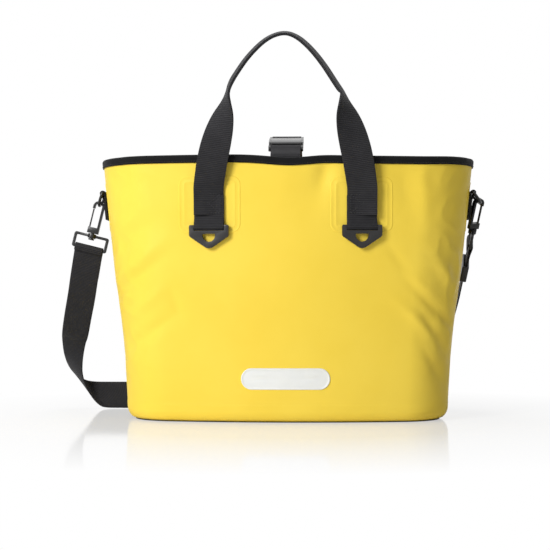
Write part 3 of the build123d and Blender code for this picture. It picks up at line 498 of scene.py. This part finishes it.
def moulded(name, tone, roughness, grain=0.03, metallic=0.0, specular=0.5, spread=0.2):
    """Moulded plastic or plated wire: one colour with a fine grain and slightly uneven gloss."""
    material, tree, shader = node_material(name, roughness, metallic, specular)
    place = node(tree, "ShaderNodeTexCoord")
    flow = node(tree, "ShaderNodeTexNoise", Vector=place.outputs["Object"], Scale=70.0, Detail=3.0)
    dark, light = ([share * c for c in tone] for share in (1 - spread, 1 + spread))
    two_tones(tree, shader, flow.outputs["Fac"], dark, light)
    uneven_gloss(tree, shader, flow, roughness, 0.07, 0.07)
    texture = node(tree, "ShaderNodeTexNoise", Vector=place.outputs["Object"], Scale=1600.0, Detail=2.0)
    raised(tree, shader, texture.outputs["Fac"], grain * MM, 0.6)
    return material


board_grey = moulded("board_grey", (0.05, 0.05, 0.05), 0.6, 0.08)
dress("base_panel", tarpaulin_black)
dress("base_board", board_grey)

# ---- rim binding ---------------------------------------------------------------------------------
# Black woven tape folded over the raw edge of the mouth and sewn through with one line of stitches.
STITCH_PITCH = 3.2 * MM
STITCH_LENGTH = 2.3 * MM
PUCKERS = 110  # how often the stitches pull the tape's edges in, round the rim
RIM_LENGTH = 1.24
binding_weave = woven(
    "binding_weave", (0.004, 0.004, 0.004), (0.012, 0.012, 0.013), 1.2 * MM, 0.15 * MM, specular=0.06
)
thread_black = moulded("thread_black", (0.030, 0.029, 0.032), 0.5, 0.05)


def rim_point(turn, out, down):
    """Point by the rim, turn from 0 to 1 all round it, out from the wall and down from its edge."""
    side, share = (-1, 2 * turn) if turn < 0.5 else (1, 2 - 2 * turn)
    edge, _ = on_wall(side, share, RIM_LEVEL)
    place, away = on_wall(side, share, RIM_LEVEL - max(down, 0))
    flat = Vector((away.x, away.y, 0)).normalized()
    return Vector((place.x, place.y, edge.z - down)) + flat * out


# section of the tape from inside to outside: out from the wall and down from its edge, in millimetres
TAPE = (
    (-4.6, 8.6), (-4.7, 5.0), (-4.6, 0.5), (-3.7, -1.2), (-1.5, -1.9), (0.7, -1.3), (1.6, 0.4), (1.8, 3.6),
    (1.7, 6.4), (1.75, 8.6),
)
bm = bmesh.new()
bmesh.ops.create_grid(bm, x_segments=360, y_segments=len(TAPE) - 1, size=1.0)
cloth = bm.loops.layers.uv.new("cloth")
placed = {v: ((v.co.x + 1) / 2, round((v.co.y + 1) / 2 * (len(TAPE) - 1))) for v in bm.verts}
for vert, (turn, step) in placed.items():
    out, down = TAPE[step]
    pull = 0.12 * sin(turn * 2 * pi * PUCKERS) if step in (0, len(TAPE) - 1) else 0
    vert.co = rim_point(turn % 1.0, (out + pull) * MM, down * MM)
for face in bm.faces:
    for loop in face.loops:
        turn, step = placed[loop.vert]
        loop[cloth].uv = (step * WEAVE_PITCH, turn * RIM_LENGTH)
bmesh.ops.remove_doubles(bm, verts=bm.verts, dist=0.02 * MM)
bmesh.ops.recalc_face_normals(bm, faces=bm.faces)
binding = put_in("mouth_binding", bm, binding_weave)
thicken(binding, 1.1 * MM, offset=-1.0, edge=0.25)
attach(binding, "root")
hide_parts("rim_binding")


def stitches(name, runs):
    """Rows of short thread stitches lying along runs of points."""
    bm = bmesh.new()
    for run in runs:
        spans = [(b - a).length for a, b in zip(run, run[1:])]
        count = max(1, round(sum(spans) / STITCH_PITCH))
        for i in range(count):
            rest = (i + 0.5) * sum(spans) / count
            for (a, b), span in zip(zip(run, run[1:]), spans):
                if rest <= span:
                    break
                rest -= span
            middle = a.lerp(b, min(rest / span, 1))
            made = bmesh.ops.create_icosphere(bm, subdivisions=1, radius=0.5)["verts"]
            turn = (b - a).to_track_quat("X", "Z")
            for vert in made:
                x, y, z = vert.co
                vert.co = middle + turn @ Vector((x * STITCH_LENGTH, y * 0.55 * MM, z * 0.45 * MM))
    piece = put_in(name, bm, thread_black)
    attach(piece, "root")


stitches("binding_stitches", [[rim_point((i / 240) % 1.0, 1.95 * MM, 6.6 * MM) for i in range(241)]])

# ---- welded patches ------------------------------------------------------------------------------
# Second layers of the yellow fabric, welded on where webbing is sewn: a rounded square under each
# handle end with a pressed line inside its edge, and an oval at each end of the bag.
PATCH_LEVEL = 277 * MM
END_PATCH_LEVEL = 279 * MM
CORNER_STEPS = 8
SIDE_STEPS = 10


def rounded(half_width, half_height, radius):
    """Outline of a rounded rectangle about its middle, the same number of points for any size."""
    points = []
    corners = ((1, 1, 0), (-1, 1, 1), (-1, -1, 2), (1, -1, 3))
    for i, (sx, sz, quarter) in enumerate(corners):
        cx, cz = sx * (half_width - radius), sz * (half_height - radius)
        arc = [(quarter + k / CORNER_STEPS) * pi / 2 for k in range(CORNER_STEPS + 1)]
        points += [(cx + radius * cos(t), cz + radius * sin(t)) for t in arc]
        nx, nz, _ = corners[(i + 1) % 4]
        turn = (quarter + 1) * pi / 2
        x0, z0 = points[-1]
        x1 = nx * (half_width - radius) + radius * cos(turn)
        z1 = nz * (half_height - radius) + radius * sin(turn)
        points += [
            (x0 + (x1 - x0) * k / SIDE_STEPS, z0 + (z1 - z0) * k / SIDE_STEPS) for k in range(1, SIDE_STEPS)
        ]
    return points


def welded(name, node_name, place, half, radius, profile, material):
    """A thin layer on the wall. profile gives its height at distances in from its edge, in mm."""
    rings = [rounded(half[0] - d * MM, half[1] - d * MM, max(radius - d * MM, 0.6 * MM)) for d, _ in profile]
    count = len(rings[0])
    bm = bmesh.new()
    bmesh.ops.create_grid(bm, x_segments=count, y_segments=len(rings), size=1.0)
    for vert in bm.verts:
        step = round((vert.co.x + 1) / 2 * count) % count
        ring = round((vert.co.y + 1) / 2 * len(rings))
        across, up = rings[ring][step] if ring < len(rings) else (0.0, 0.0)
        height = profile[min(ring, len(rings) - 1)][1]
        vert.co = place(across, up, height * MM)
    bmesh.ops.remove_doubles(bm, verts=bm.verts, dist=0.01 * MM)
    bmesh.ops.recalc_face_normals(bm, faces=bm.faces)
    middle = place(0, 0, 0)
    outward = place(0, 0, 0.01) - middle
    if sum(f.normal.dot(outward) * f.calc_area() for f in bm.faces) < 0:
        bmesh.ops.reverse_faces(bm, faces=bm.faces)
    piece = put_in(name, bm, material)
    thicken(piece, 0.6 * MM, offset=-1.0, edge=0)
    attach(piece, "root")
    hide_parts(node_name)


def side_place(side, x, z):
    """Places on the front or back wall about a middle."""
    return lambda across, up, out: on_wall(side, share_at(x + across, z + up), z + up, out)[0]


def end_place(hand, z):
    """Places round an end of the bag about a middle."""

    def place(across, up, out):
        level = z + up
        length, depth = half_sizes(level)
        turn = 0.5 * across / (0.5 * pi * (depth - SIDE_BOW) + length * 0.86) if depth else 0
        side, share = (-1, turn) if across >= 0 else (1, -turn)
        share = abs(share) if hand < 0 else 1 - abs(share)
        return on_wall(side, share, level, out)[0]

    return place


HANDLE_OFFSET = 96 * MM
# where each layer stands: in from its edge and out from the wall, in millimetres
PRESSED = (
    (0, -0.3), (0.2, 0.1), (0.6, 0.42), (1.3, 0.45), (2.0, 0.26), (6.4, 0.24), (6.9, 0.42), (7.5, 0.42),
    (8.1, 0.22), (14, 0.2), (22, 0.2), (30, 0.2),
)
OVAL_EDGE = (
    (0, -0.3), (0.2, 0.2), (0.7, 0.6), (1.4, 0.6), (2.2, 0.35), (4, 0.35), (9, 0.35), (16, 0.35), (23, 0.35)
)
for side, word in ((-1, "front"), (1, "back")):
    for hand, x in (("left", -HANDLE_OFFSET), ("right", HANDLE_OFFSET)):
        welded(f"{word}_{hand}_weld", f"{word}_{hand}_patch", side_place(side, x, PATCH_LEVEL),
               (39.5 * MM, 36 * MM), 11 * MM, PRESSED, tarpaulin_yellow)
for hand, side in (("left", -1), ("right", 1)):
    welded(f"{hand}_end_weld", f"{hand}_end_patch", end_place(side, END_PATCH_LEVEL),
           (30 * MM, 33 * MM), 29.4 * MM, OVAL_EDGE, tarpaulin_yellow)

# ---- label patch ---------------------------------------------------------------------------------
# A plain pale grey patch of soft moulded rubber with a raised lip, welded low on the front.
label_white = moulded("label_white", (0.80, 0.82, 0.82), 0.45, 0.02, spread=0.015)
LABEL_LEVEL = 56 * MM
LABEL_EDGE = ((0, -0.3), (0.1, 0.7), (0.6, 1.4), (1.5, 1.45), (2.0, 1.0), (4, 1.0), (8, 1.0), (12, 1.0))
welded("label", "label_patch", side_place(-1, 0.0, LABEL_LEVEL), (56.5 * MM, 13.7 * MM), 13.6 * MM,
       LABEL_EDGE, label_white)

# ---- handle ends and their rings -----------------------------------------------------------------
# The ends of the handle webbing go round the bar of a moulded three-cornered ring, back up, and are
# sewn flat to the patch under the handle with a boxed cross. The ring's eye takes a tie-down hook.
RING_LEVEL = 248.5 * MM
RING_OUT = 4.9 * MM
RING_WRAP = 3.1 * 1.12 * MM
plastic_black = moulded("plastic_black", (0.007, 0.006, 0.006), 0.36, 0.04)


def softened(name, node_name, body, material, radius=0.7 * MM, segments=3):
    """A moulded part from its CAD solid, with its edges rounded as a mould leaves them."""
    bm = bmesh.new()
    bm.from_mesh(cad_part(node_name).data)
    bmesh.ops.remove_doubles(bm, verts=bm.verts, dist=0.005 * MM)
    bmesh.ops.dissolve_limit(bm, angle_limit=radians(2), verts=bm.verts, edges=bm.edges)
    sharp = [e for e in bm.edges if len(e.link_faces) == 2 and e.calc_face_angle(0) > radians(38)]
    bmesh.ops.bevel(bm, geom=sharp, offset=radius, affect="EDGES", segments=segments, profile=0.5,
                    material=-1, clamp_overlap=True)
    bmesh.ops.triangulate(bm, faces=[f for f in bm.faces if len(f.verts) > 4])
    bmesh.ops.recalc_face_normals(bm, faces=bm.faces)
    piece = put_in(name, bm, material)
    piece.data.set_sharp_from_angle(angle=radians(32))
    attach(piece, body)
    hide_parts(node_name)
    return piece


def wall_place(side, x, level, out):
    """Point on or off the wall, as the webbing sewn to it sees it."""
    return on_wall(side, share_at(x, level), level, out)[0]


# the sewn webbing in front of and behind the ring's bar: level and how far out, in millimetres
UNDER_LAYER = ((289, 1.65), (275, 1.65), (262, 1.7), (256, 1.75))
OVER_LAYER = ((256, 4.0), (262, 3.35), (275, 3.3), (289, 3.3))
for side, word in ((-1, "front"), (1, "back")):
    for hand, x in (("left", -HANDLE_OFFSET), ("right", HANDLE_OFFSET)):
        bar = wall_place(side, x, RING_LEVEL, RING_OUT)
        away = (wall_place(side, x, RING_LEVEL, RING_OUT + 10 * MM) - bar) / (10 * MM)
        up = (wall_place(side, x, RING_LEVEL + 20 * MM, RING_OUT) - bar).normalized()
        across = up.cross(away) * WEB_WIDTH
        stations = [(wall_place(side, x, z * MM, out * MM), across) for z, out in UNDER_LAYER]
        for turn in (160, 205, 250, 290, 335, 380):
            spin = -away * cos(radians(turn + 180)) + up * sin(radians(turn))
            stations.append((bar + spin * RING_WRAP, across))
        stations += [(wall_place(side, x, z * MM, out * MM), across) for z, out in OVER_LAYER]
        anchor, _ = band(f"{word}_{hand}_handle_end", stations)
        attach(anchor, "root")
        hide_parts(f"{word}_{hand}_anchor")
        softened(f"{word}_{hand}_tie_ring", f"{word}_{hand}_ring", f"{word}_{hand}_ring", plastic_black,
                 1.0 * MM)

# ---- grab handles --------------------------------------------------------------------------------
# Webbing again: each end is sewn over the webbing below it, the legs lean in and turn on edge, and
# the grip between them is folded in half along its length. The back one hangs down.
GRIP_LAYERS = 2.4
GRIP_WIDTH = 19.5 * MM
grip_weave = woven("grip_weave", (0.005, 0.005, 0.006), (0.026, 0.025, 0.028), WEAVE_PITCH, 0.45 * MM)
# grips seen from the front: across and up from the middle of the bag's foot, in millimetres
GRIP_LINE = (
    (-68, 428), (-60, 441), (-46, 461), (-24, 482.5), (-2, 490.5), (15, 485), (32, 470), (48, 450),
    (62, 428), (70, 416),
)
BACK_GRIP_LINE = (
    (-68, 158), (-58, 142), (-42, 120), (-20, 103), (0, 98), (20, 103), (42, 120), (58, 142), (68, 158)
)
# free part of a leg: across, in or out, up, turn towards edge on, and width
LEG_LINE = (
    (94.5, -103.5, 312, 0, 38), (91.5, -107.5, 330, 0, 38), (87.0, -109.5, 350, 4, 38),
    (82.0, -110, 370, 20, 37), (77.5, -110, 388, 38, 34), (74.5, -110, 402, 62, 28), (72.5, -110, 414, 80, 22),
)
BACK_LEG_LINE = (
    (96, 100.5, 296.5, 0, 38), (96, 105.5, 297.5, 0, 38), (95.5, 109.5, 291, 0, 38), (94, 112.5, 272, 0, 38),
    (91, 114.5, 248, 0, 38), (86, 115.5, 222, 8, 38), (80, 116, 200, 30, 35), (75, 116, 184, 58, 28),
    (72, 116, 172, 80, 22),
)


def aligned(stations):
    """The same stations, each width vector in the sense of the one before it."""
    out = [stations[0]]
    for place, wide in stations[1:]:
        out.append((place, wide if wide.dot(out[-1][1]) >= 0 else -wide))
    return out


def sewn_part(side, hand, reaches):
    """Stations up the wall where a handle end is sewn: levels and how far out, in millimetres."""
    wide = Vector((1, side * hand * 0.10, 0)).normalized() * WEB_WIDTH
    return [(wall_place(side, hand * HANDLE_OFFSET, z * MM, out * MM), wide) for z, out in reaches]


def grip(points, y, tip):
    """Stations along the folded grip, its width running front to back and tipped a little."""
    stations = []
    for i, (x, z) in enumerate(points):
        before, after = points[max(i - 1, 0)], points[min(i + 1, len(points) - 1)]
        along = Vector((after[0] - before[0], 0, after[1] - before[1])).normalized()
        flat = Vector((0, 1, 0))
        wide = flat * cos(radians(tip)) + along.cross(flat) * sin(radians(tip))
        stations.append((Vector((x, y, z)) * MM, wide * GRIP_WIDTH))
    return stations


def front_leg(hand):
    """Stations up one front leg, hand -1 the left: sewn on, then leaning in and turning on edge."""
    stations = sewn_part(-1, hand, ((263.5, 5.0), (272, 5.0), (284, 5.1), (291, 5.6), (299, 6.6)))
    for x, y, z, turn, width in LEG_LINE:
        t = radians(turn)
        wide = Vector((cos(t), hand * sin(t), hand * 0.15 * cos(t)))
        stations.append((Vector((hand * x, y, z)) * MM, wide * width * MM))
    return stations


def back_leg(hand):
    """Stations of one back leg: sewn on, over at the pivot, and hanging down outside the ring."""
    stations = sewn_part(1, hand, ((263.5, 5.0), (272, 5.0), (282, 5.0), (290, 5.4)))
    for x, y, z, turn, width in BACK_LEG_LINE:
        t = radians(turn)
        wide = Vector((cos(t), -hand * sin(t), -hand * 0.12 * cos(t) * (z < 280)))
        stations.append((Vector((hand * x, y, z)) * MM, wide * width * MM))
    return stations


for word, leg, line, y, tip, start, end in (
    ("front", front_leg, GRIP_LINE, -110, 18, (0, -0.1, 0.284), (0, -0.1, 0.301)),
    ("back", back_leg, BACK_GRIP_LINE, 116, 0, (0, 0.1035, 0.3), (0, 0.1124, 0.2991)),
):
    route = aligned(leg(-1) + grip(line, y, tip) + list(reversed(leg(1))))
    piece, _ = band(f"{word}_grab_handle", route, grip_weave, threads=12, folded=GRIP_LAYERS)
    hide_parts(f"{word}_handle")
    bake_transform(piece)
    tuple(end)


def boxed_cross(side, hand, low, high, half, out):
    """Runs of a sewn box with a cross in it, on the webbing of a handle end, sizes in millimetres."""
    corners = [(-half, low), (half, low), (half, high), (-half, high)]
    runs = [(corners[i], corners[(i + 1) % 4]) for i in range(4)]
    runs += [(corners[0], corners[2]), (corners[1], corners[3])]
    lines = []
    for (x0, z0), (x1, z1) in runs:
        line = []
        for k in range(7):
            x = hand * HANDLE_OFFSET + (x0 + (x1 - x0) * k / 6) * MM
            line.append(wall_place(side, x, (z0 + (z1 - z0) * k / 6) * MM, out * MM))
        lines.append(line)
    return lines


for side, word in ((-1, "front"), (1, "back")):
    for hand, name in ((-1, "left"), (1, "right")):
        stitches(f"{word}_{name}_boxed_stitches", boxed_cross(side, hand, 266, 290, 14.5, 6.1))

# ---- end tabs, D-rings, snap hooks and strap loops -----------------------------------------------
# A short tab of 25 mm webbing at each end holds a wire D-ring. A cast swivel hook with a sprung gate
# clips on it and carries the loop that the shoulder strap is sewn round.
TAB_WIDTH = 25.0 * MM
TAB_LEVEL = 280 * MM
TAB_WRAP = 3.05 * 1.1 * MM
DRING_BAR = (244.468 * MM, 297.036 * MM)
# the tab's two layers: level and how far out, in millimetres
TAB_UNDER = ((262.5, 1.7), (272, 1.7), (284, 1.7), (291, 1.9))
TAB_OVER = ((290, 3.9), (284, 3.4), (272, 3.35), (262.5, 3.35))
metal_black = moulded("metal_black", (0.009, 0.009, 0.009), 0.3, 0.03, metallic=0.2)

for hand, side in (("left", -1), ("right", 1)):
    bar = Vector((side * DRING_BAR[0], 0, DRING_BAR[1]))
    lean = Vector((side, 0, -WALL_LEAN)).normalized()
    up = Vector((side * WALL_LEAN, 0, 1)).normalized()
    across = Vector((0, 1, 0)) * TAB_WIDTH
    place = end_place(side, TAB_LEVEL)
    inner, outer = (
        [(place(0, z * MM - TAB_LEVEL, out * MM), across) for z, out in layer] for layer in (TAB_UNDER, TAB_OVER)
    )
    turns = [radians(degrees) for degrees in (0, 50, 95, 140, 185)]
    round_bar = [(bar + (up * sin(t) - lean * cos(t)) * TAB_WRAP, across) for t in turns]
    tab, _ = band(f"{hand}_web_tab", inner + round_bar + outer)
    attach(tab, "root")
    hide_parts(f"{hand}_tab")
    softened(f"{hand}_hook_casting", f"{hand}_snap_hook", f"{hand}_hook", metal_black, 1.1 * MM)
    softened(f"{hand}_sprung_gate", f"{hand}_gate", f"{hand}_gate", metal_black, 0.35 * MM, 2)
    softened(f"{hand}_loop_casting", f"{hand}_strap_loop", "root", metal_black, 0.9 * MM)
    dress(f"{hand}_dring", metal_black)
slider = softened("slider_buckle", "strap_slider", "slider", plastic_black, 0.8 * MM)

# ---- closure straps and side-release buckle ------------------------------------------------------
# Webbing sewn inside the front and back of the mouth. The front one holds the socket of a moulded
# side-release buckle and the back one its plug, whose two levers spring out into the windows.
plastic_gloss = moulded("plastic_gloss", (0.010, 0.010, 0.010), 0.16, 0.01, specular=0.8)
for name, node_name, body, radius in (
    ("buckle_socket_moulding", "buckle_socket", "root", 1.2),
    ("buckle_plug_moulding", "buckle_plug", "plug", 0.8),
    ("buckle_left_lever_moulding", "buckle_left_lever", "plug_left_lever", 0.5),
    ("buckle_right_lever_moulding", "buckle_right_lever", "plug_right_lever", 0.5),
):
    softened(name, node_name, body, plastic_gloss, radius * MM)

# bars of the buckle's halves, and each strap up the inside of the wall to its bar: in or out and up,
# in millimetres
SOCKET_BAR = (-78.0, 348.5)
PLUG_BAR = (-18.7, 366.6)
CLOSURE_WRAP = 3.6
FRONT_CLOSURE = ((-95.6, 302), (-95.4, 316), (-94.6, 327), (-93.8, 335), (-91.5, 340), (-84.5, 345.5))
BACK_CLOSURE = (
    (95.6, 302), (95.4, 316), (94.6, 327), (93.5, 336), (88.5, 341), (75, 346.5), (45, 357), (12, 365.5),
    (-10, 368.5),
)
for word, bar, line, side in (
    ("front", SOCKET_BAR, FRONT_CLOSURE, -1),
    ("back", PLUG_BAR, BACK_CLOSURE, 1),
):
    turns = [radians(degrees) for degrees in (70, 115, 165, 215, 265, 310, 350)]
    round_bar = [
        (bar[0] + side * CLOSURE_WRAP * cos(t), bar[1] + CLOSURE_WRAP * sin(t)) for t in turns
    ]
    stations = [
        (Vector((0, y, z)) * MM, Vector((1, 0, 0)) * WEB_WIDTH) for y, z in (*line, *round_bar)
    ]
    closure, _ = band(f"{word}_closure_web", stations)
    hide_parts(f"{word}_closure_strap")
    if word == "front":
        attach(closure, "root")
    else:
        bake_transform(closure)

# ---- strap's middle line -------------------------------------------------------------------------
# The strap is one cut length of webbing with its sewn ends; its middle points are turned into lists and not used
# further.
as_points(strap_line)

# ---- floor and light -----------------------------------------------------------------------------
# A glossy white table top, a white surround, one broad soft lamp from the upper left and a weak fill.
FLOOR_SIZE = 6.0
FILL = 0.16
floor_mesh = bmesh.new()
bmesh.ops.create_grid(floor_mesh, x_segments=4, y_segments=4, size=FLOOR_SIZE / 2)
floor_white, tree, shader = node_material("floor_white", 0.08, specular=1.0)
shader.inputs["Base Color"].default_value = (0.86, 0.86, 0.86, 1)
output = tree.nodes["Material Output"]
rays = node(tree, "ShaderNodeLightPath")
place = node(tree, "ShaderNodeTexCoord")
distance = node(tree, "ShaderNodeVectorMath", Vector=place.outputs["Object"])
distance.operation = "LENGTH"
far = node(tree, "ShaderNodeMapRange", Value=distance.outputs["Value"], From_Min=0.28, From_Max=0.62,
           To_Min=0.5, To_Max=1.0)
seen = node(tree, "ShaderNodeMath")
seen.operation = "MULTIPLY"
tree.links.new(far.outputs["Result"], seen.inputs[0])
tree.links.new(rays.outputs["Is Camera Ray"], seen.inputs[1])
glow = node(tree, "ShaderNodeEmission", Color=(1, 1, 1, 1), Strength=1.0)
both = node(tree, "ShaderNodeMixShader", Fac=seen.outputs["Value"])
tree.links.new(shader.outputs["BSDF"], both.inputs[1])
tree.links.new(glow.outputs["Emission"], both.inputs[2])
tree.links.new(both.outputs["Shader"], output.inputs["Surface"])
floor = put_in("floor", floor_mesh, floor_white, smooth=False)

world = bpy.data.worlds.new("surround")
bpy.context.scene.world = world
world.use_nodes = True
sky = world.node_tree
background = sky.nodes["Background"]
background.inputs["Color"].default_value = (1, 1, 1, 1)
rays = node(sky, "ShaderNodeLightPath")
straight = node(sky, "ShaderNodeMath")
straight.operation = "MAXIMUM"
sky.links.new(rays.outputs["Is Camera Ray"], straight.inputs[0])
sky.links.new(rays.outputs["Is Transmission Ray"], straight.inputs[1])
direct = node(sky, "ShaderNodeMath")
direct.operation = "MAXIMUM"
sky.links.new(straight.outputs["Value"], direct.inputs[0])
sky.links.new(rays.outputs["Is Glossy Ray"], direct.inputs[1])
strength = node(sky, "ShaderNodeMapRange", Value=direct.outputs["Value"], To_Min=FILL, To_Max=1.0)
sky.links.new(strength.outputs["Result"], background.inputs["Strength"])


def soft_lamp(name, place, aim, size, power):
    """A square area lamp at a place, turned to a point."""
    data = bpy.data.lights.new(name, "AREA")
    data.size = size
    data.energy = power
    lamp = bpy.data.objects.new(name, data)
    lamp.location = place
    lamp.rotation_euler = (Vector(aim) - Vector(place)).to_track_quat("-Z", "Y").to_euler()
    bpy.context.scene.collection.objects.link(lamp)


soft_lamp("key", (-1.35, -1.85, 1.1), (0, 0, 0.2), 0.9, 47)
soft_lamp("top", (-0.2, 0.1, 2.0), (0, 0, 0.3), 1.4, 16)
bpy.context.scene.view_settings.view_transform = "Standard"
